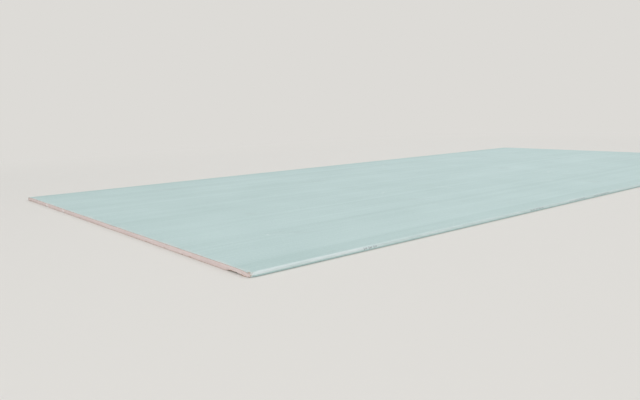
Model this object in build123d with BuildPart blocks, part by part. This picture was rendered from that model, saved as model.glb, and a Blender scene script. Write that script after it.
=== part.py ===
from build123d import *
import os

# One sheet of moisture-resistant gypsum board, lying on its back with the face up.
# X runs along its length, Y across its width and Z up from the middle of its underside.

# The whole sheet
sheet_length = 2500.0
sheet_width = 1200.0
sheet_thickness = 9.5

# The long edges: the face slopes down towards them and turns over in a half round
taper_width = 50.0
taper_depth = 1.1
edge_radius = 5.0

# The face paper goes round both long edges and is folded in under the back
face_paper_thickness = 0.4
fold_radius = 1.0
fold_width = 25.0

# The back paper is glued over the folds and stops short of the long edges
back_paper_thickness = 0.35
back_paper_inset = 10.0

# Worked out from these
half_length = sheet_length / 2
half_width = sheet_width / 2
edge_top = sheet_thickness - taper_depth
edge_wall = edge_top - back_paper_thickness - fold_radius
edge_round = min(edge_radius, 0.95 * edge_wall)  # the round never takes the whole wall

# The board's section without its back paper
with BuildSketch(Plane.YZ) as wrapped_section:
    with BuildLine():
        Polyline(
            (-half_width, back_paper_thickness),
            (half_width, back_paper_thickness),
            (half_width, edge_top),
            (half_width - taper_width, sheet_thickness),
            (taper_width - half_width, sheet_thickness),
            (-half_width, edge_top),
            close=True,
        )
    make_face()
    edge_corners = vertices().group_by(Axis.X)
    fillet([edge_corners[0].sort_by(Axis.Y)[-1], edge_corners[-1].sort_by(Axis.Y)[-1]], edge_round)
    fillet(vertices().group_by(Axis.Y)[0], fold_radius)

# The core is everything inside the face paper, down to the back paper between the folds
with BuildPart() as gypsum_core:
    with BuildSketch(Plane.YZ) as core_section:
        offset(wrapped_section.sketch_local, amount=-face_paper_thickness)
        with Locations((0, back_paper_thickness)):
            Rectangle(
                sheet_width - 2 * fold_width,
                face_paper_thickness,
                align=(Align.CENTER, Align.MIN),
            )
    extrude(amount=half_length, both=True)

# The face paper is what that leaves of the section
with BuildPart() as face_paper:
    with BuildSketch(Plane.YZ):
        add(wrapped_section.sketch_local)
        add(core_section.sketch_local, mode=Mode.SUBTRACT)
    extrude(amount=half_length, both=True)

# The back paper is a flat strip along the whole underside
with BuildPart() as back_paper:
    with BuildSketch(Plane.YZ):
        Rectangle(
            sheet_width - 2 * back_paper_inset,
            back_paper_thickness,
            align=(Align.CENTER, Align.MIN),
        )
    extrude(amount=half_length, both=True)

gypsum_core.part.label = "gypsum_core"
face_paper.part.label = "face_paper"
back_paper.part.label = "back_paper"

os.makedirs("parts", exist_ok=True)
export_step(gypsum_core.part, "parts/gypsum_core.step")
export_step(face_paper.part, "parts/face_paper.step")
export_step(back_paper.part, "parts/back_paper.step")
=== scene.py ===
import math
import random
from bisect import bisect_left

import bpy
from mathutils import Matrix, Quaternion, Vector, noise


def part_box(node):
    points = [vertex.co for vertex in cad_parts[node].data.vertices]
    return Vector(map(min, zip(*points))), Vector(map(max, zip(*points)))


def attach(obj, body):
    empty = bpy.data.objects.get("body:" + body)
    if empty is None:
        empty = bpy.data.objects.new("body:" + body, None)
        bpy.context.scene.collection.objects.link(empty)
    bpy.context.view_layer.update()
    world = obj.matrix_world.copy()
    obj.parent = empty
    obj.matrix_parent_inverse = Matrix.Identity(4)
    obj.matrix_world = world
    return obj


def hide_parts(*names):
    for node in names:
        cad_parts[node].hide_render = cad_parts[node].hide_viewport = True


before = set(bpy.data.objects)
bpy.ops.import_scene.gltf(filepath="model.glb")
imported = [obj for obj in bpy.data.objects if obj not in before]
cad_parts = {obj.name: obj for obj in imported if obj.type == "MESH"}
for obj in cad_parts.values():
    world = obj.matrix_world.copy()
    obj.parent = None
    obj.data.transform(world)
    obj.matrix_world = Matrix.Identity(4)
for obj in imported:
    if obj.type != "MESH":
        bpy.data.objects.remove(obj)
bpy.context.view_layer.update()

# One sheet of moisture-resistant gypsum board, lying face up. X is its length, Y its width.
# Everything is in metres, and the sizes that the frame knows are read from it.

mm = 0.001
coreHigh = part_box("gypsum_core")[1]
wrapLow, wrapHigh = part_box("face_paper")
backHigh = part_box("back_paper")[1]

halfLength = wrapHigh.x
halfWidth = wrapHigh.y
faceHeight = wrapHigh.z
foldHeight = wrapLow.z
facePaperThick = wrapHigh.z - coreHigh.z
backPaperThick = backHigh.z

board = {
    "taperWidth": 50 * mm,
    "taperDepth": 1.1 * mm,
    "edgeRadius": 5 * mm,
    "foldRadius": 1 * mm,
    "foldWidth": 25 * mm,
    "faceWave": 0.13 * mm,  # how far the face wanders below flat
    "edgeWave": 0.22 * mm,  # how far the long edges wander inside straight
    # knocked corners: how far in the knock reaches, and how far it pushes
    "knocks": (
        {"end": -1, "side": -1, "reach": 19 * mm, "push": 2.6 * mm},
        {"end": -1, "side": 1, "reach": 9 * mm, "push": 1.2 * mm},
        {"end": 1, "side": -1, "reach": 13 * mm, "push": 1.9 * mm},
        {"end": 1, "side": 1, "reach": 8 * mm, "push": 1.0 * mm},
    ),
    "crumple": 0.6,  # how unevenly a knock pushes
    "foldPitch": 4.2 * mm,  # from crease to crease where a corner is crushed
    "foldDepth": 0.5 * mm,
    "loose": 0.3 * mm,  # gap left between paper and gypsum there
    # broken places along the foot of an end: how wide each way from the middle, how deep the
    # gypsum has come out, how far the underside is crushed up, and how bare the gypsum is
    "breaks": (
        {"end": -1, "middle": -556 * mm, "wide": 27 * mm, "deep": 0.9 * mm, "rise": 2.3 * mm, "bare": 0.25},
        {"end": -1, "middle": 275 * mm, "wide": 9 * mm, "deep": 1.3 * mm, "rise": 0.9 * mm, "bare": 0.8},
        {"end": -1, "middle": 415 * mm, "wide": 14 * mm, "deep": 1.8 * mm, "rise": 1.2 * mm, "bare": 1.0},
    ),
    "breakReach": 14 * mm,  # how far along the board the crushing goes
    "sharpTurn": 38,  # degrees; an edge that turns more stays crisp
    # waves a metre of the noise in each of these, for both ways or along and across the board
    "waves": {"face": (2.3, 3.4), "edge": 3.1, "crumple": 300, "crease": 170, "break": 140},
}


# Wear

def ripple(x, y, z):
    # smooth noise between 0 and 1
    return 0.5 + 0.5 * noise.noise(Vector((x, y, z)))


def knocked(x, y, z, lift, knock, isCore):
    # a crushed corner: it is pushed in, its face sinks, and creases run across it and die out
    inward = halfLength - knock["end"] * x
    sideward = halfWidth - knock["side"] * y
    near = 1 - math.hypot(inward, sideward) / knock["reach"]
    if near <= 0:
        return x, y, z
    crumple = 1 + board["crumple"] * noise.noise(Vector((x, y, z)) * board["waves"]["crumple"])
    shove = knock["push"] * near ** 1.6 * crumple
    waves = board["waves"]["crease"]
    wander = 1.4 * noise.noise(Vector((x * waves, y * waves, 6.0)))
    crease = 0.5 + 0.5 * math.sin(2 * math.pi * (inward + sideward) / board["foldPitch"] + wander)
    fold = board["foldDepth"] * min(1.0, 2.2 * near) * crease
    loose = board["loose"] * min(1.0, 3 * near) if isCore else 0.0
    x -= knock["end"] * (shove + loose)
    y -= knock["side"] * (shove + fold * (1 - lift) + loose)
    z -= lift * (knock["push"] * 0.9 * near ** 1.3 * crumple + fold + loose)
    return x, y, z


def worn(x, y, z, isCore=False):
    # where a point of the perfect board lies on the real one, always inside the perfect outline
    waves = board["waves"]
    lift = z / faceHeight
    z -= board["faceWave"] * lift * ripple(x * waves["face"][0], y * waves["face"][1], 4.1)
    bow = ripple(x * waves["edge"], 9.0 if y > 0 else 2.0, 0.7)
    y *= 1 - board["edgeWave"] / halfWidth * bow
    for knock in board["knocks"]:
        x, y, z = knocked(x, y, z, lift, knock, isCore)
    for place in board["breaks"]:
        across = 1 - abs(y - place["middle"]) / place["wide"]
        along = 1 - (halfLength - place["end"] * x) / board["breakReach"]
        if across > 0 and along > 0:
            uneven = 1 + 0.5 * noise.noise(Vector((x, y, 0.06)) * waves["break"])
            z += place["rise"] * (1 - lift) * min(1.0, 1.6 * across) * along * uneven
    return x, y, z


# Meshes and their layouts

def spread(start, stop, count):
    # count evenly spaced values from start towards stop, without stop itself
    return [start + (stop - start) * i / count for i in range(count)]


def solidPiece(name, points, faces, finishes, marked=()):
    # a closed mesh, smooth but for its sharp edges; marked faces wear the second finish
    mesh = bpy.data.meshes.new(name)
    mesh.from_pydata(points, [], faces)
    for finish in finishes:
        mesh.materials.append(finish.owner)
    mesh.shade_smooth()
    for index in marked:
        mesh.polygons[index].material_index = 1
    mesh.set_sharp_from_angle(angle=math.radians(board["sharpTurn"]))
    mesh.validate()
    piece = bpy.data.objects.new(name, mesh)
    bpy.context.scene.collection.objects.link(piece)
    return piece


layoutGap = 0.003  # kept clear round each strip, so that no finish bleeds into the next


def shares(line):
    # how far along a line each of its points is, 0 to 1; close steps get more than their length
    reach = [0.0]
    for here, there in zip(line, line[1:]):
        reach.append(reach[-1] + math.sqrt(math.dist(here, there)))
    return [each / reach[-1] for each in reach]


def layOut(piece, places):
    # a flat layout, under a name that its finishes can be baked on. It is a pile of strips: places
    # gives the strip that a face is in, from and to what height, and its corners' shares of it
    layout = piece.data.uv_layers.new(name="OFBake")
    spots = []
    for face in piece.data.polygons:
        low, high, corners = places(face)
        for across, up in corners:
            spots.append(layoutGap + across * (1 - 2 * layoutGap))
            spots.append(low + layoutGap + up * (high - low - 2 * layoutGap))
    layout.uv.foreach_set("vector", spots)


# Finishes

def paint(red, green, blue):
    # a screen colour, 0 to 255, as the linear one that the shader takes
    return tuple(((c / 255 + 0.055) / 1.055) ** 2.4 for c in (red, green, blue)) + (1.0,)


class Wire:
    # an output socket that can be used in sums, each of which adds a Math node
    def __init__(self, finish, socket):
        self.finish = finish
        self.socket = socket

    def maths(self, operation, first, second=0.0):
        return self.finish.node("Math", {"operation": operation}, {0: first, 1: second})

    def __add__(self, other):
        return self.maths("ADD", self, other)

    def __radd__(self, other):
        return self.maths("ADD", other, self)

    def __sub__(self, other):
        return self.maths("SUBTRACT", self, other)

    def __rsub__(self, other):
        return self.maths("SUBTRACT", other, self)

    def __mul__(self, other):
        return self.maths("MULTIPLY", self, other)

    def __rmul__(self, other):
        return self.maths("MULTIPLY", other, self)

    def __gt__(self, other):
        return self.maths("GREATER_THAN", self, other)

    def __lt__(self, other):
        return self.maths("LESS_THAN", self, other)

    def __abs__(self):
        return self.maths("ABSOLUTE", self)

    def __mod__(self, other):
        return self.maths("FLOORED_MODULO", self, other)


class Finish:
    # one material, or the world, and the nodes it is made of
    def __init__(self, name, kind="materials"):
        self.owner = getattr(bpy.data, kind).new(name)
        self.owner.use_nodes = True
        self.tree = self.owner.node_tree
        self.tree.nodes.clear()

    def node(self, kind, settings=None, sockets=None, output=0):
        made = self.tree.nodes.new("ShaderNode" + kind)
        for key, value in (settings or {}).items():
            setattr(made, key, value)
        for key, value in (sockets or {}).items():
            if isinstance(value, Wire):
                self.tree.links.new(value.socket, made.inputs[key])
            else:
                made.inputs[key].default_value = value
        if isinstance(output, tuple):
            return [Wire(self, made.outputs[each]) for each in output]
        return Wire(self, made.outputs[output]) if made.outputs else None

    def vectors(self, operation, first, second, output=0):
        return self.node("VectorMath", {"operation": operation}, {0: first, 1: second}, output)

    def mixed(self, factor, first, second):
        return self.node(
            "Mix", {"data_type": "RGBA", "clamp_factor": True}, {0: factor, 6: first, 7: second}, output=2
        )

    def clamped(self, value):
        return self.node("Clamp", {}, {"Value": value})

    def ramp(self, value, low, high):
        # 0 at low, 1 at high and smooth between, whichever way round they are
        return self.node(
            "MapRange",
            {"interpolation_type": "SMOOTHSTEP", "clamp": True},
            {"Value": value, "From Min": low, "From Max": high, "To Min": 0.0, "To Max": 1.0},
        )

    def stretched(self, place, waves):
        # the place as a pattern needs it, which has so many waves a metre, for all axes or for each
        return self.vectors("MULTIPLY", place, waves if isinstance(waves, tuple) else (waves,) * 3)

    def warped(self, place, waves, amount):
        # the place pushed about by up to half the amount, so that dots and bands lose their shape
        push = self.node("TexNoise", {}, {"Vector": place, "Scale": waves, "Detail": 2.0}, output=1)
        centred = self.vectors("SUBTRACT", push, (0.5, 0.5, 0.5))
        return self.vectors("ADD", place, self.vectors("MULTIPLY", centred, (amount,) * 3))

    def cloud(self, place, waves, detail=3.0, roughness=0.5):
        spot = self.stretched(place, waves)
        return self.node(
            "TexNoise", {}, {"Vector": spot, "Scale": 1.0, "Detail": detail, "Roughness": roughness}
        )

    def threads(self, place, waves, outer, inner):
        # the thin lines along which a cloud has its middle value, as wide as outer and inner say
        return self.ramp(abs(self.cloud(place, waves, 1.0) - 0.5), outer, inner)

    def specks(self, place, waves, size, share):
        # round dots in the given share of the cells, 1 inside a dot and 0 outside
        spot = self.stretched(place, waves)
        distance, colour = self.node(
            "TexVoronoi", {}, {"Vector": spot, "Scale": 1.0}, output=("Distance", "Color")
        )
        chance = self.node("SeparateColor", {}, {"Color": colour})
        return self.ramp(distance, size, size * 0.6) * (chance > 1 - share)

    def surface(self, colour, roughness, height, depth, look):
        bump = self.node("Bump", {}, {"Strength": look["bump"], "Distance": depth, "Height": height})
        shader = self.node(
            "BsdfPrincipled",
            {},
            {
                "Base Color": colour,
                "Roughness": roughness,
                "Specular IOR Level": look["gloss"],
                "Sheen Weight": look["sheen"],
                "Sheen Roughness": 0.6,
                "Normal": bump,
            },
        )
        self.node("OutputMaterial", {}, {"Surface": shader})


# The gypsum core, bare at the two cut ends

coreLook = {
    "cell": 0.7 * mm,  # width of the mesh's cells across a cut end
    "rows": 15,  # of cells up the cut end
    "foldColumns": 25,  # of cells over each folded strip, and round each long edge
    "roundColumns": 15,
    "sideStations": (2.4 * mm, 5 * mm, 9 * mm, 15 * mm),  # how far in the sides have points
    "recess": 0.12 * mm,  # how far the gypsum lies behind the paper's edge
    "wander": 0.10 * mm,  # the cut's slow wander, then its lumps, saw scratches and grains
    "lumps": 0.08 * mm,
    "scratches": 0.05 * mm,
    "grains": 0.11 * mm,
    # waves a metre of the noise in them, for both ways or across and up the cut
    "cutWaves": {"wander": 34, "lumps": 330, "scratches": (40, 1100)},
    "pits": 360,  # on each end
    "chips": 26,  # broken out beside the paper, on each end
    "chipWidth": (1.5 * mm, 6.5 * mm),  # each way from its middle, the least and the most
    "chipDepth": (0.4 * mm, 1.3 * mm),
    "chipBreaks": 4,  # smaller breaks around a chip that keep its edge ragged
    "breakDents": 14,  # dents in each broken place, and how high up they are
    "breakHeight": 4.5 * mm,
    "bareHeight": 7 * mm,  # how far up a broken place is pale
    "strips": 8,  # that each cut end has on the layout
    "endShare": 0.9,  # of the layout, for both cut ends
    "dark": paint(219, 200, 196),
    "light": paint(242, 230, 228),
    "freshColour": paint(245, 236, 234),
    "fibreColour": paint(168, 128, 112),
    "holeShadeColour": paint(160, 130, 123),
    "speckColour": paint(112, 78, 66),
    "clouds": 0.5,
    "mottle": 0.5,
    "streaks": 0.7,
    "grain": 0.5,
    "fresh": 0.6,
    "fibres": 0.5,
    # how strongly painted shade darkens the small and the large air holes
    "smallHoles": 0.35,
    "largeHoles": 0.45,
    "specks": 0.85,
    "bend": 0.9 * mm,  # how far fibres, holes and specks are pulled out of round
    "crumbs": 1.6,  # how rough a broken place is
    "roughness": 0.93,
    "relief": 0.3 * mm,
    "bump": 0.55,
    "gloss": 0.2,
    "sheen": 0.0,
    # waves a metre of each pattern, for all axes or along, across and through the board
    "waves": {
        "clouds": 9,
        "mottle": 130,
        "streaks": (60, 7, 620),
        "grain": 1500,
        "fresh": (150, 60, 260),
        "bend": 900,
        "fibres": (1500, 550, 2600),
        "smallHoles": 4100,
        "holePatches": 30,
        "largeHoles": 1500,
        "specks": 850,
        "ragged": 210,
        "crumbs": 520,
    },
}


def brokenFeet(finish, place, look):
    # 1 where the foot of an end has broken out, one mask for each broken place
    ragged = finish.cloud(place, look["waves"]["ragged"], 4.0, 0.6)
    masks = []
    for spot in board["breaks"]:
        wide = spot["wide"]
        near = finish.stretched(place, (1 / wide, 1 / wide, 1 / look["bareHeight"]))
        centre = (spot["end"] * halfLength / wide, spot["middle"] / wide, 0.45)
        away = finish.vectors("DISTANCE", near, centre, "Value")
        masks.append(finish.ramp(away + ragged, 1.5, 1.25))
    return masks


def gypsumFinish(look):
    finish = Finish("gypsum")
    waves = look["waves"]
    place = finish.node("TexCoord", output="Object")
    cloud = finish.cloud(place, waves["clouds"], 4.0, 0.55)
    mottle = finish.cloud(place, waves["mottle"], 4.0, 0.6)
    streak = finish.cloud(place, waves["streaks"], 4.0, 0.6)
    grain = finish.cloud(place, waves["grain"], 3.0, 0.6)
    tone = 0.5 + (cloud - 0.5) * look["clouds"] + (mottle - 0.5) * look["mottle"]
    tone = tone + (streak - 0.5) * look["streaks"] + (grain - 0.5) * look["grain"]
    colour = finish.mixed(tone, look["dark"], look["light"])

    # fresh white where grit has broken out, brown fibres, and painted shade in the air holes of the foamed
    # core
    fresh = finish.ramp(finish.cloud(place, waves["fresh"], 4.0, 0.7), 0.6, 0.72)
    colour = finish.mixed(fresh * look["fresh"], colour, look["freshColour"])
    bent = finish.warped(place, waves["bend"], look["bend"])
    fibres = finish.specks(bent, waves["fibres"], 0.24, 0.12)
    colour = finish.mixed(fibres * look["fibres"], colour, look["fibreColour"])
    uneven = finish.ramp(finish.cloud(place, waves["holePatches"]), 0.34, 0.62)
    small = finish.specks(bent, waves["smallHoles"], 0.36, 0.4) * uneven
    large = finish.specks(bent, waves["largeHoles"], 0.3, 0.3)
    holeShade = small * look["smallHoles"] + large * look["largeHoles"]
    colour = finish.mixed(holeShade, colour, look["holeShadeColour"])
    specks = finish.specks(bent, waves["specks"], 0.1, 0.12)
    colour = finish.mixed(specks * look["specks"], colour, look["speckColour"])

    # pale fresh gypsum where the foot of an end has broken out
    broken = 0.0
    for spot, mask in zip(board["breaks"], brokenFeet(finish, place, look)):
        colour = finish.mixed(mask * spot["bare"], colour, look["freshColour"])
        broken = broken + mask
    crumbs = finish.cloud(place, waves["crumbs"], 4.0, 0.75)

    height = mottle * 0.3 + grain * 0.35 + streak * 0.2 - small * 0.5 - large * 0.9
    height = height + broken * crumbs * look["crumbs"]
    finish.surface(colour, look["roughness"], height, look["relief"], look)
    return finish


slopeAngle = math.atan2(board["taperDepth"], board["taperWidth"])
edgeTop = faceHeight - board["taperDepth"]
roundMiddle = halfWidth - board["edgeRadius"]
# height of the round's centre, which touches both the upright wall and the sloping face
roundLevel = edgeTop - (board["edgeRadius"] * (1 - math.sin(slopeAngle))) / math.cos(slopeAngle)
foldMiddle = halfWidth - board["foldRadius"]
foldLevel = foldHeight + board["foldRadius"]


def coreTop(y):
    # top of the gypsum at a distance from the middle line
    radius = board["edgeRadius"] - facePaperThick
    touch = roundMiddle + radius * math.sin(slopeAngle)
    away = abs(y)
    if away >= touch:
        return roundLevel + math.sqrt(max(radius ** 2 - (away - roundMiddle) ** 2, 0.0))
    sloped = away - (halfWidth - board["taperWidth"])
    return faceHeight - facePaperThick - max(sloped, 0.0) * math.tan(slopeAngle)


def coreBottom(y):
    radius = board["foldRadius"] - facePaperThick
    away = abs(y)
    if away > foldMiddle:
        return foldLevel - math.sqrt(max(radius ** 2 - (away - foldMiddle) ** 2, 0.0))
    if away > halfWidth - board["foldWidth"]:
        return foldHeight + facePaperThick
    return foldHeight


def endColumns():
    # positions across the board, closer together round the edges and at the fold's step
    step = coreLook["cell"]
    foldEnd = halfWidth - board["foldWidth"]
    half = [step * i for i in range(int(foldEnd / step))]
    half += [foldEnd - 0.01 * mm, foldEnd + 0.01 * mm]
    half += spread(foldEnd + step, roundMiddle, coreLook["foldColumns"])
    radius = board["edgeRadius"] - facePaperThick
    count = coreLook["roundColumns"]
    half += [roundMiddle + radius * math.sin(math.radians(90 * i / count)) for i in range(count + 1)]
    return [-y for y in reversed(half[1:])] + half


def cutLevel(y, row):
    # height of a row of the cut end's mesh
    low = coreBottom(y)
    return low + (coreTop(y) - low) * row / coreLook["rows"]


def sawnDepths(columns, dice):
    # how far each point of a cut end lies behind the end's plane where nothing has broken out
    waves = coreLook["cutWaves"]
    seed = dice.uniform(0, 50)
    depths = []
    for y in columns:
        wander = coreLook["wander"] * ripple(y * waves["wander"], seed, 0.0)
        line = []
        for row in range(coreLook["rows"] + 1):
            z = cutLevel(y, row)
            lump = noise.noise(Vector((y * waves["lumps"], z * waves["lumps"], seed)))
            scratch = noise.noise(Vector((y * waves["scratches"][0], z * waves["scratches"][1], seed)))
            lumps = coreLook["lumps"] * abs(lump)
            scratches = coreLook["scratches"] * scratch
            grains = coreLook["grains"] * dice.random() ** 2
            line.append(coreLook["recess"] + wander + lumps + scratches + grains)
        depths.append(line)
    return depths


def breakOut(depths, end, columns, dice):
    # deepens a cut end at its pits, at the chips beside its papers and at its broken places
    def dent(y, z, wide, tall, deep):
        first = bisect_left(columns, y - wide)
        last = bisect_left(columns, y + wide)
        for column in range(first, last):
            for row, depth in enumerate(depths[column]):
                level = cutLevel(columns[column], row)
                away = math.hypot((columns[column] - y) / wide, (level - z) / tall)
                if away < 1:
                    depths[column][row] = depth + deep * (1 - away ** 2) * dice.uniform(0.6, 1.0)

    for _ in range(coreLook["pits"]):
        y = dice.uniform(-halfWidth, halfWidth)
        z = dice.uniform(foldHeight, faceHeight)
        # most are small, a few twice as large
        size = (0.85 + 0.4 * dice.random() + 0.9 * dice.random() ** 6) * mm
        dent(y, z, size, size * dice.uniform(0.8, 1.0), size * dice.uniform(0.2, 0.5))
    for _ in range(coreLook["chips"]):
        y = dice.uniform(-halfWidth, halfWidth)
        z = coreTop(y) if dice.random() < 0.6 else coreBottom(y)
        wide = dice.uniform(*coreLook["chipWidth"])
        tall = wide * dice.uniform(0.22, 0.4)
        deep = dice.uniform(*coreLook["chipDepth"])
        dent(y, z, wide, tall, deep)
        for _ in range(coreLook["chipBreaks"]):
            beside = y + wide * dice.uniform(-1, 1)
            dent(beside, z, wide * 0.3, tall * dice.uniform(0.5, 1.1), deep * 0.5)
    for spot in board["breaks"]:
        for _ in range(coreLook["breakDents"] if spot["end"] == end else 0):
            y = spot["middle"] + spot["wide"] * dice.uniform(-0.85, 0.85)
            z = foldHeight + dice.uniform(0.0, coreLook["breakHeight"])
            size = spot["wide"] * dice.uniform(0.15, 0.4)
            dent(y, z, size, dice.uniform(1.4, 3.2) * mm, spot["deep"] * dice.uniform(0.25, 0.6))


def layOutCore(piece, starts, wide, around, stretches):
    # the cut ends fill most of the layout, each in several strips; the sides are under the papers
    rows = coreLook["rows"]
    perEnd = (wide - 1) * rows
    perStrip = math.ceil((wide - 1) / coreLook["strips"])
    height = coreLook["endShare"] / (2 * coreLook["strips"])

    def places(face):
        if face.index < 2 * perEnd:
            end, number = divmod(face.index, perEnd)
            strip = number // rows // perStrip
            low = (end * coreLook["strips"] + strip) * height
            corners = []
            for point in face.vertices:
                column, row = divmod(point - starts[end], rows + 1)
                across = column / perStrip - strip
                corners.append((across if end else 1 - across, row / rows))
            return low, low + height, corners
        stretch, step = divmod(face.index - 2 * perEnd, around)
        left, right = stretch / stretches, (stretch + 1) / stretches
        bottom, top = step / around, (step + 1) / around
        return coreLook["endShare"], 1.0, ((left, bottom), (left, top), (right, top), (right, bottom))

    layOut(piece, places)


def gypsumCore():
    dice = random.Random(11)
    columns = endColumns()
    rows = coreLook["rows"]
    wide = len(columns)
    points = []
    faces = []

    # one grid of points for each cut end
    starts = []
    for end in (-1, 1):
        depths = sawnDepths(columns, dice)
        breakOut(depths, end, columns, dice)
        starts.append(len(points))
        for y, line in zip(columns, depths):
            for row, depth in enumerate(line):
                points.append(worn(end * (halfLength - depth), y, cutLevel(y, row), True))
    for end, start in zip((-1, 1), starts):
        for column in range(wide - 1):
            for row in range(rows):
                a = start + column * (rows + 1) + row
                quad = (a, a + 1, a + rows + 2, a + rows + 1)
                faces.append(quad if end < 0 else quad[::-1])

    # the outline of that grid, once round, then carried along the board
    around = [(column, 0) for column in range(wide)]
    around += [(wide - 1, row) for row in range(1, rows + 1)]
    around += [(column, rows) for column in reversed(range(wide - 1))]
    around += [(0, row) for row in reversed(range(1, rows))]
    closeIn = coreLook["sideStations"]
    stations = [-halfLength + inside for inside in closeIn]
    stations += [halfLength - inside for inside in reversed(closeIn)]
    loops = [[starts[0] + column * (rows + 1) + row for column, row in around]]
    for x in stations:
        loops.append(list(range(len(points), len(points) + len(around))))
        for column, row in around:
            y = columns[column]
            points.append(worn(x, y, cutLevel(y, row), True))
    loops.append([starts[1] + column * (rows + 1) + row for column, row in around])
    for near, far in zip(loops, loops[1:]):
        for i in range(len(around)):
            j = (i + 1) % len(around)
            faces.append((near[i], near[j], far[j], far[i]))
    piece = solidPiece("gypsumCore", points, faces, [gypsumFinish(coreLook)])
    layOutCore(piece, starts, wide, len(around), len(loops) - 1)
    return piece


# The two papers

linerLook = {
    # what both papers share
    "flecks": 0.6,
    "bend": 1.6 * mm,  # how far flecks are pulled out of round
    "waves": {
        "clouds": 4.2,
        "streaks": (0.5, 34, 34),
        "lines": (3.5, 380, 380),
        "fibres": (260, 620, 620),
        "bend": 700,
        "flecks": (1000, 1650, 1650),
        "hairs": ((330, 880, 880), (660, 520, 520)),
        "hairPatches": (230, 400, 400),
    },
}

faceLook = {
    "endFray": 0.35 * mm,  # how ragged the paper's cut edge is
    "dark": paint(168, 194, 192),
    "light": paint(204, 225, 225),
    "marginShadeColour": paint(158, 187, 184),
    "fleckColour": paint(92, 116, 112),
    "paleColour": paint(232, 240, 240),
    "dustColour": paint(230, 222, 219),
    # the pale of the rounded edges: burnish and rub marks, and a painted highlight
    "rubAndHighlightColour": paint(232, 239, 241),
    "plyColour": paint(176, 142, 118),
    "grimeColour": paint(128, 134, 128),
    "inkColour": paint(86, 84, 98),
    "clouds": 0.5,
    "streaks": 0.5,
    "lines": 0.5,
    "fibres": 0.9,
    "darkFlecks": 0.13,  # share of the cells that have one
    "paleHairs": 0.22,
    "darkHairs": 0.12,
    "margin": 0.22,  # how much painted shade darkens the sloping margins
    "dust": 0.6,
    "dustReach": 22 * mm,
    "torn": 0.85,
    "burnishAndHighlight": 0.3,  # how much paler the rounded edges are painted, partly burnish and partly painted highlight, and their rub marks
    "rubAndHighlight": 0.4,
    "roundTop": (6.5 * mm, 1.5 * mm),  # how far in from a long edge both start, and are full
    "roundFoot": (2.5 * mm, 4.5 * mm),  # and how high up
    "rubReach": (0.45, 0.02),  # how far in from an end rub marks get more, and are most
    "smudge": 0.12,
    "scratches": 0.45,
    "scratchTurns": (12, -34, 71),  # degrees from the board's length
    "ink": 0.85,
    # ticks on the near long edge: pitch, height of their middle and half their height
    "tickStep": 3.0 * mm,
    "tickMiddle": 4.7 * mm,
    "tickHeight": 1.6 * mm,
    # where each run starts and stops, in steps from the near end; whole fours
    "tickRuns": ((80, 92), (260, 280), (320, 348), (364, 392)),
    "tickTop": (2.9 * mm, 2.2 * mm),  # how far in over the round ink has ended, and is still full
    "roughness": 0.72,
    "relief": 0.07 * mm,
    "bump": 0.45,
    "gloss": 0.35,
    "sheen": 0.06,
    "waves": {
        "grit": 640,
        "dustPatches": (60, 26, 26),
        "tatter": 380,
        "drag": (26, 500, 500),
        "rubSpots": (9, 0, 0),
        "smudges": (5, 8, 8),
        "scratches": (1.6, 24, 24),
        "scratchPatches": (5, 11, 11),
    },
}

backLook = {
    "endFray": 0.4 * mm,
    "lapWander": 0.7 * mm,  # how far its long edges stray from straight
    "lapWaves": 7,  # that they have in a metre
    "dark": paint(158, 147, 130),
    "light": paint(190, 180, 163),
    "fleckColour": paint(92, 80, 66),
    "paleColour": paint(212, 206, 192),
    "grimeColour": paint(120, 110, 96),
    "clouds": 0.4,
    "streaks": 0.35,
    "lines": 0.5,
    "fibres": 1.0,
    "darkFlecks": 0.25,
    "paleHairs": 0.3,
    "darkHairs": 0.2,
    "smudge": 0.14,
    "smudgeWaves": (4, 7, 7),
    "roughness": 0.8,
    "relief": 0.09 * mm,
    "bump": 0.5,
    "gloss": 0.3,
    "sheen": 0.05,
}

rawEdgeLook = {
    "dark": paint(140, 104, 78),
    "light": paint(196, 164, 136),
    "plyWaves": (900, 140, 3200),
    "chaffWaves": 900,
    "roughness": 0.9,
    "relief": 0.05 * mm,
    "bump": 0.5,
    "gloss": 0.2,
    "sheen": 0.0,
}

paperMesh = {
    # steps of the face paper's section, from its fold to the middle of the face
    "foldSteps": 5,
    "turnSteps": 4,
    "wallSteps": 3,
    "roundSteps": 12,
    "slopeSteps": 23,
    "slopeCrowding": 1.7,  # above 1, they are closer together beside the edge
    "faceSteps": 34,
    # steps across the back paper, more at each broken place, and the least of them
    "backSteps": 96,
    "breakSteps": 18,
    "leastStep": 1 * mm,
    # steps along the board, from each cut end inwards and then between
    "closeStep": 0.9 * mm,
    "closeSteps": 22,
    "nextStations": (23 * mm, 30 * mm, 40 * mm),
    "lengthSteps": 120,
    "frayReach": 3 * mm,  # how far in from a cut end the fray goes
    # waves a metre of its slow tears and of its nicks, across and up the cut
    "tearWaves": (150, 300),
    "nickWaves": (420, 500),
    "footHeight": 1.5 * mm,  # paper lower than this is torn back at a broken place
}

# from and to what height of a paper's layout each of its sides lies
paperStrips = {
    "outside": (0.0, 0.9),
    "inside": (0.9, 0.96),
    "minusEnd": (0.96, 0.97),
    "plusEnd": (0.97, 0.98),
    "firstEdge": (0.98, 0.99),
    "lastEdge": (0.99, 1.0),
}


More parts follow.
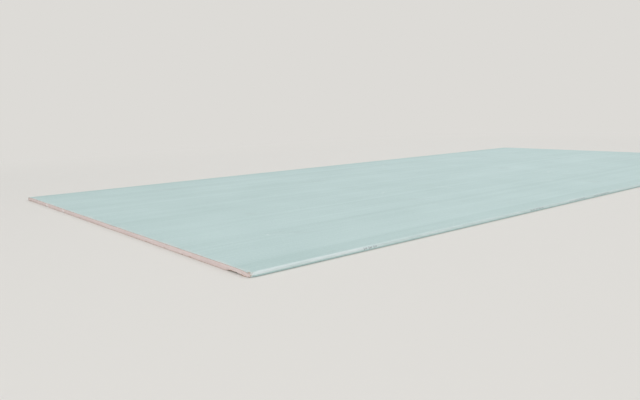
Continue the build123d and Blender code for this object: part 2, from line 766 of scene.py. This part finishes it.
def paperFinish(name, look):
    # liner paper: clouds, streaks along the machine, fibres and flecks; returns what marks need
    finish = Finish(name)
    waves = linerLook["waves"]
    place = finish.node("TexCoord", output="Object")
    cloud = finish.cloud(place, waves["clouds"])
    broad = finish.cloud(place, waves["streaks"])
    fine = finish.cloud(place, waves["lines"], 4.0, 0.6)
    fibre = finish.cloud(place, waves["fibres"], 4.0, 0.65)
    tone = 0.5 + (cloud - 0.5) * look["clouds"] + (broad - 0.5) * look["streaks"]
    tone = tone + (fine - 0.5) * look["lines"] + (fibre - 0.5) * look["fibres"]
    colour = finish.mixed(tone, look["dark"], look["light"])
    bent = finish.warped(place, waves["bend"], linerLook["bend"])
    flecks = finish.specks(bent, waves["flecks"], 0.17, look["darkFlecks"])
    colour = finish.mixed(flecks * linerLook["flecks"], colour, look["fleckColour"])
    patches = finish.cloud(place, waves["hairPatches"], 1.0)
    hairs = 0.0
    for hairWaves in waves["hairs"]:
        hairs = hairs + finish.threads(place, hairWaves, 0.03, 0.008)
    paleHairs = hairs * finish.ramp(patches, 0.54, 0.66)
    darkHairs = hairs * finish.ramp(patches, 0.4, 0.3)
    colour = finish.mixed(paleHairs * look["paleHairs"], colour, look["paleColour"])
    colour = finish.mixed(darkHairs * look["darkHairs"], colour, look["fleckColour"])
    height = fibre * 0.5 + fine * 0.3 + finish.clamped(hairs) * 0.2
    return finish, place, colour, height, fibre


def baredCorners(finish, place, colour, look):
    # the green ply has torn off the crushed corners and bares the brown ones
    tatter = finish.cloud(place, look["waves"]["tatter"], 4.0, 0.6)
    for knock in board["knocks"]:
        reach = knock["reach"]
        corner = (knock["end"] * halfLength, knock["side"] * halfWidth, faceHeight)
        away = finish.vectors("DISTANCE", place, corner, "Value")
        torn = finish.ramp(away + (tatter - 0.5) * (reach * 1.5), reach * 0.42, reach * 0.34)
        colour = finish.mixed(torn * look["torn"], colour, look["plyColour"])
    return colour


def scratchMarks(finish, place, look):
    # a few thin scratches in several directions
    scratches = 0.0
    for turn in look["scratchTurns"]:
        turned = finish.node(
            "VectorRotate", {"rotation_type": "Z_AXIS"}, {"Vector": place, "Angle": math.radians(turn)}
        )
        lines = finish.threads(turned, look["waves"]["scratches"], 0.005, 0.001)
        patches = finish.cloud(turned, look["waves"]["scratchPatches"], 2.0)
        scratches = scratches + lines * finish.ramp(patches, 0.62, 0.7)
    return scratches


def tickMarks(finish, x, y, z, look):
    # plain ink ticks on one long edge: runs of threes, the first of each three taller
    height = look["tickHeight"]
    along = (x + halfLength) * (1 / look["tickStep"])
    tick = finish.ramp(abs(along % 1.0 - 0.5), 0.25, 0.17)
    inThree = along % 4.0
    level = abs(z - look["tickMiddle"])
    short = finish.ramp(level, height, height * 0.8)
    tall = finish.ramp(level, height * 1.5, height * 1.3) * (inThree < 1.0)
    band = finish.clamped(short + tall) * (inThree < 3.0)
    run = 0.0
    for start, stop in look["tickRuns"]:
        run = run + (along > start) * (along < stop)
    return tick * band * run * (y < -0.5 * halfWidth)


def facePaperFinish(look):
    finish, place, colour, height, fibre = paperFinish("greenPaper", look)
    waves = look["waves"]
    x, y, z = finish.node("SeparateXYZ", {}, {"Vector": place}, output=("X", "Y", "Z"))
    endway = halfLength - abs(x)
    edgeway = halfWidth - abs(y)

    # painted shade darkens the sloping margins a little, and they are a little smoother than the rest
    margin = finish.ramp(edgeway, board["taperWidth"] * 1.06, board["taperWidth"] * 0.94)
    colour = finish.mixed(margin * look["margin"], colour, look["marginShadeColour"])

    # gypsum dust rubbed in along the cut ends, in grains
    grit = finish.cloud(place, waves["grit"], 4.0, 0.8)
    patches = finish.cloud(place, waves["dustPatches"], 4.0, 0.6)
    nearEnd = finish.ramp(endway, look["dustReach"], 0.0)
    dust = finish.ramp(grit + patches * 0.6 + nearEnd * 0.3, 1.0, 1.24) * nearEnd
    colour = finish.mixed(dust * look["dust"], colour, look["dustColour"])
    colour = baredCorners(finish, place, colour, look)

    # the rounded edges are painted paler, partly burnished wear and partly a painted highlight along their
    # tops, with rub marks along them, more towards the ends, which add to that painted highlight
    drag = finish.cloud(place, waves["drag"], 4.0, 0.7)
    spots = finish.cloud(place, waves["rubSpots"], 2.0)
    onRound = finish.ramp(edgeway, *look["roundTop"]) * finish.ramp(z, *look["roundFoot"])
    often = 0.47 + finish.ramp(endway, *look["rubReach"]) * 0.17
    rubAndHighlight = onRound * finish.ramp(drag * 0.5 + spots * 0.5 + often, 0.96, 1.16)
    colour = finish.mixed(onRound * look["burnishAndHighlight"] + rubAndHighlight * look["rubAndHighlight"], colour, look["rubAndHighlightColour"])

    # faint grey handling marks on the face, scratches and ink
    smudges = finish.ramp(finish.cloud(place, waves["smudges"], 5.0, 0.62), 0.6, 0.76)
    colour = finish.mixed(smudges * look["smudge"], colour, look["grimeColour"])
    scratches = scratchMarks(finish, place, look) * finish.ramp(fibre, 0.38, 0.56)
    colour = finish.mixed(scratches * look["scratches"], colour, look["paleColour"])
    wornInk = finish.ramp(fibre, 0.38, 0.54) * 0.7 + 0.3
    ink = tickMarks(finish, x, y, z, look) * wornInk * finish.ramp(edgeway, *look["tickTop"])
    colour = finish.mixed(ink * look["ink"], colour, look["inkColour"])

    roughness = look["roughness"] + (fibre - 0.5) * 0.12 + dust * 0.1 + rubAndHighlight * 0.08 - margin * 0.05
    finish.surface(colour, roughness, height, look["relief"], look)
    return finish


def backPaperFinish(look):
    finish, place, colour, height, fibre = paperFinish("buffPaper", look)
    smudges = finish.ramp(finish.cloud(place, look["smudgeWaves"], 5.0, 0.62), 0.56, 0.74)
    colour = finish.mixed(smudges * look["smudge"], colour, look["grimeColour"])
    roughness = look["roughness"] + (fibre - 0.5) * 0.1
    finish.surface(colour, roughness, height, look["relief"], look)
    return finish


def rawEdgeFinish(look):
    # the cut edge and the glued side of the liner: brown inner plies
    finish = Finish("cutPaper")
    place = finish.node("TexCoord", output="Object")
    plies = finish.cloud(place, look["plyWaves"], 3.0, 0.6)
    chaff = finish.cloud(place, look["chaffWaves"], 3.0, 0.6)
    colour = finish.mixed(plies * 0.7 + chaff * 0.3, look["dark"], look["light"])
    finish.surface(colour, look["roughness"], chaff, look["relief"], look)
    return finish


def lengthStations():
    # positions along the board, close together at the cut ends
    close = [paperMesh["closeStep"] * i for i in range(1, paperMesh["closeSteps"] + 1)]
    inward = [0.0, paperMesh["closeStep"] / 3, *close, *paperMesh["nextStations"]]
    left = [-halfLength + each for each in inward]
    right = [-x for x in reversed(left)]
    return left + spread(left[-1], right[0], paperMesh["lengthSteps"])[1:] + right


def wrapLine(inset):
    # the face paper's section from the fold to the middle of the face, inset from its outside
    steps = paperMesh["foldSteps"]
    line = [(y, foldHeight + inset) for y in spread(halfWidth - board["foldWidth"], foldMiddle, steps)]
    radius = board["foldRadius"] - inset
    for step in range(paperMesh["turnSteps"] + 1):
        turn = math.radians(90 * step / paperMesh["turnSteps"] - 90)
        line.append((foldMiddle + radius * math.cos(turn), foldLevel + radius * math.sin(turn)))
    line += [(halfWidth - inset, z) for z in spread(foldLevel, roundLevel, paperMesh["wallSteps"])[1:]]
    radius = board["edgeRadius"] - inset
    sweep = math.pi / 2 - slopeAngle
    for step in range(paperMesh["roundSteps"] + 1):
        turn = sweep * step / paperMesh["roundSteps"]
        line.append((roundMiddle + radius * math.cos(turn), roundLevel + radius * math.sin(turn)))
    flatStart = (halfWidth - board["taperWidth"], faceHeight - inset)
    touch = line[-1]
    for step in range(1, paperMesh["slopeSteps"]):
        share = (step / paperMesh["slopeSteps"]) ** paperMesh["slopeCrowding"]
        line.append(tuple(a + (b - a) * share for a, b in zip(touch, flatStart)))
    line += [(y, faceHeight - inset) for y in spread(flatStart[0], 0, paperMesh["faceSteps"])]
    return line + [(0.0, faceHeight - inset)]


def tornBack(x, y, z, fray, seed):
    # how far the paper's ragged edge lies inside a cut end, further under a broken place
    reach = max(0.0, 1 - (halfLength - abs(x)) / paperMesh["frayReach"])
    across, up = paperMesh["tearWaves"]
    torn = ripple(y * across, z * up, seed + x)
    across, up = paperMesh["nickWaves"]
    nick = max(0.0, noise.noise(Vector((y * across, z * up, seed - x))))
    back = fray * reach * (0.55 * torn + 0.45 * nick)
    for spot in board["breaks"]:
        if z < paperMesh["footHeight"] and spot["end"] * x > 0:
            gone = min(1.0, max(0.0, 1.5 - 1.5 * abs(y - spot["middle"]) / spot["wide"]))
            back += spot["deep"] * reach * gone * (0.7 + 0.3 * torn)
    return back


def paperShell(name, outer, inner, finishes, fray, seed):
    # a sheet between two lines of its section, swept along the board with ragged cut ends
    stations = lengthStations()
    count = len(outer)
    points = []
    for x in stations:
        for y, z in outer + inner:
            points.append(worn(x - math.copysign(tornBack(x, y, z, fray, seed), x), y, z))
    ring = 2 * count
    faces = []
    marked = []
    for i in range(len(stations) - 1):
        for j in range(count - 1):
            a = i * ring + j
            b = a + ring
            faces.append((a, a + 1, b + 1, b))
            c = a + count
            d = b + count
            marked.append(len(faces))  # the side glued to the gypsum is raw too
            faces.append((d, d + 1, c + 1, c))
        for j in (0, count - 1):
            a = i * ring + j
            quad = (a, a + ring, a + ring + count, a + count)
            marked.append(len(faces))
            faces.append(quad if j == 0 else quad[::-1])
    last = (len(stations) - 1) * ring
    for j in range(count - 1):
        marked += [len(faces), len(faces) + 1]
        faces.append((j, j + count, j + count + 1, j + 1))
        faces.append((last + j, last + j + 1, last + j + count + 1, last + j + count))
    piece = solidPiece(name, points, faces, finishes, marked)
    layOutPaper(piece, stations, outer)
    return piece


def layOutPaper(piece, stations, section):
    # the outside fills most of the layout, and the glued side and the raw edges have the rest
    along = shares([(x,) for x in stations])
    across = shares(section)
    count = len(section)

    def places(face):
        # each corner is a station along the board, a side of the sheet and a point of the section
        corners = [(*divmod(point // count, 2), point % count) for point in face.vertices]
        if len({side for i, side, j in corners}) == 1:
            low, high = paperStrips["inside" if corners[0][1] else "outside"]
            return low, high, [(along[i], 1 - across[j]) for i, side, j in corners]
        if len({i for i, side, j in corners}) == 1:
            low, high = paperStrips["plusEnd" if corners[0][0] else "minusEnd"]
            return low, high, [(across[j], side) for i, side, j in corners]
        low, high = paperStrips["lastEdge" if corners[0][2] else "firstEdge"]
        return low, high, [(along[i], side) for i, side, j in corners]

    layOut(piece, places)


def mirrored(line):
    return line + [(-y, z) for y, z in reversed(line[:-1])]


def facePaper(rawEdge):
    outer = mirrored(wrapLine(0.0))
    inner = mirrored(wrapLine(facePaperThick))
    finishes = [facePaperFinish(faceLook), rawEdge]
    return paperShell("facePaper", outer, inner, finishes, faceLook["endFray"], 3.7)


def backPaper(rawEdge):
    # positions across it, closer together where an end is broken
    wanted = spread(-backHigh.y, backHigh.y, paperMesh["backSteps"])
    for spot in board["breaks"]:
        start, stop = spot["middle"] - spot["wide"], spot["middle"] + spot["wide"]
        wanted += spread(start, stop, paperMesh["breakSteps"])
    across = []
    for y in sorted(wanted):
        if not across or y - across[-1] > paperMesh["leastStep"]:
            across.append(y)
    across.append(backHigh.y)
    under = [(y, 0.0) for y in across]
    over = [(y, backPaperThick) for y in across]
    finishes = [backPaperFinish(backLook), rawEdge]
    piece = paperShell("backPaper", under, over, finishes, backLook["endFray"], 8.3)
    for vertex in piece.data.vertices:
        edge = abs(vertex.co.y) / backHigh.y
        stray = ripple(vertex.co.x * backLook["lapWaves"], math.copysign(3, vertex.co.y), 0)
        vertex.co.y *= 1 - backLook["lapWander"] / backHigh.y * stray * edge
    return piece


rawEdge = rawEdgeFinish(rawEdgeLook)
for piece, node, slot in (
    (gypsumCore(), "gypsum_core", "gypsum"),
    (facePaper(rawEdge), "face_paper", "green_paper"),
    (backPaper(rawEdge), "back_paper", "buff_paper"),
):
    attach(piece, "root")
    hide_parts(node)
    print(piece.name, "has", len(piece.data.polygons), "faces")


# Studio

studio = {
    "floorColour": paint(229, 227, 223),
    "backdrop": paint(221, 219, 215),
    "fadeFrom": 0.05,  # how far off the board the floor starts to turn into the backdrop
    "fadeTo": 1.8,
    "floorRadius": 14.0,
    "rimPoints": 72,
    "floorDrop": 0.1 * mm,  # keeps it clear of the board's underside
    "ambient": 0.42,
    # name, place, width, watts and colour; each faces the aim
    "lamps": (
        ("keyLamp", (-5.8, -3.6, 4.0), 3.2, 190, (1.0, 0.985, 0.965)),
        ("sideLamp", (2.2, -5.8, 3.2), 3.6, 84, (1.0, 0.99, 0.975)),
        ("topLamp", (0.6, 2.4, 5.4), 5.0, 98, (0.97, 0.99, 1.0)),
        ("backLamp", (5.6, 2.6, 4.0), 4.0, 60, (0.98, 0.99, 1.0)),
    ),
    "aim": (0.0, 0.0, 0.0),
}


def seenDirectly(finish):
    # 1 for what the camera, a reflection or a clear surface looks at
    camera, glossy, through = finish.node(
        "LightPath", output=("Is Camera Ray", "Is Glossy Ray", "Is Transmission Ray")
    )
    return finish.clamped(camera + glossy + through)


def studioFloor():
    finish = Finish("paleFloor")
    place = finish.node("TexCoord", output="Object")
    folded = finish.node("VectorMath", {"operation": "ABSOLUTE"}, {0: place})
    past = finish.vectors("SUBTRACT", folded, (halfLength, halfWidth, 0))
    beyond = finish.vectors("MAXIMUM", past, (0, 0, 0))
    away = finish.node("VectorMath", {"operation": "LENGTH"}, {0: beyond}, output="Value")
    fade = finish.ramp(away, studio["fadeFrom"], studio["fadeTo"])
    plain = finish.node(
        "BsdfPrincipled",
        {},
        {"Base Color": studio["floorColour"], "Roughness": 0.9, "Specular IOR Level": 0.1},
    )
    glow = finish.node("Emission", {}, {"Color": studio["backdrop"], "Strength": 1.0})
    both = finish.node("MixShader", {}, {0: fade * seenDirectly(finish), 1: plain, 2: glow})
    finish.node("OutputMaterial", {}, {"Surface": both})
    radius = studio["floorRadius"]
    turns = [2 * math.pi * i / studio["rimPoints"] for i in range(studio["rimPoints"])]
    rim = [(radius * math.cos(turn), radius * math.sin(turn), 0) for turn in turns]
    mesh = bpy.data.meshes.new("floor")
    mesh.from_pydata(rim, [], [tuple(range(len(rim)))])
    mesh.materials.append(finish.owner)
    floor = bpy.data.objects.new("floor", mesh)
    floor.location.z = -studio["floorDrop"]
    bpy.context.scene.collection.objects.link(floor)


def studioWorld():
    finish = Finish("studio", "worlds")
    soft = finish.node("Background", {}, {"Color": (1.0, 1.0, 1.0, 1.0), "Strength": studio["ambient"]})
    pale = finish.node("Background", {}, {"Color": studio["backdrop"], "Strength": 1.0})
    both = finish.node("MixShader", {}, {0: seenDirectly(finish), 1: soft, 2: pale})
    finish.node("OutputWorld", {}, {"Surface": both})
    bpy.context.scene.world = finish.owner


def studioLamps():
    for name, place, width, watts, colour in studio["lamps"]:
        lamp = bpy.data.lights.new(name, "AREA")
        lamp.shape = "DISK"
        lamp.size = width
        lamp.energy = watts
        lamp.color = colour
        holder = bpy.data.objects.new(name, lamp)
        holder.location = place
        holder.rotation_euler = (Vector(studio["aim"]) - Vector(place)).to_track_quat("-Z", "Y").to_euler()
        bpy.context.scene.collection.objects.link(holder)


view = {
    # the camera stands off the near left corner, a little above the board
    "fromCorner": (-0.4862, -0.7516, 0.2518),
    "heading": 50.1,  # degrees from +X towards +Y
    "tilt": -8.6,
    "roll": -1.4,
    "lens": 34.1,
    "sensor": 36,
    "farthest": 60,
}


def photoCamera():
    camera = bpy.data.cameras.new("camera")
    camera.lens = view["lens"]
    camera.sensor_width = view["sensor"]
    camera.clip_end = view["farthest"]
    holder = bpy.data.objects.new("camera", camera)
    holder.location = Vector((-halfLength, -halfWidth, 0.0)) + Vector(view["fromCorner"])
    heading = math.radians(view["heading"])
    tilt = math.radians(view["tilt"])
    level = math.cos(tilt)
    facing = Vector((math.cos(heading) * level, math.sin(heading) * level, math.sin(tilt)))
    turn = facing.to_track_quat("-Z", "Y") @ Quaternion((0, 0, 1), math.radians(view["roll"]))
    holder.rotation_euler = turn.to_euler()
    bpy.context.scene.collection.objects.link(holder)
    bpy.context.scene.camera = holder


studioFloor()
studioWorld()
studioLamps()
photoCamera()
bpy.context.scene.view_settings.view_transform = "Standard"
print("studio set")
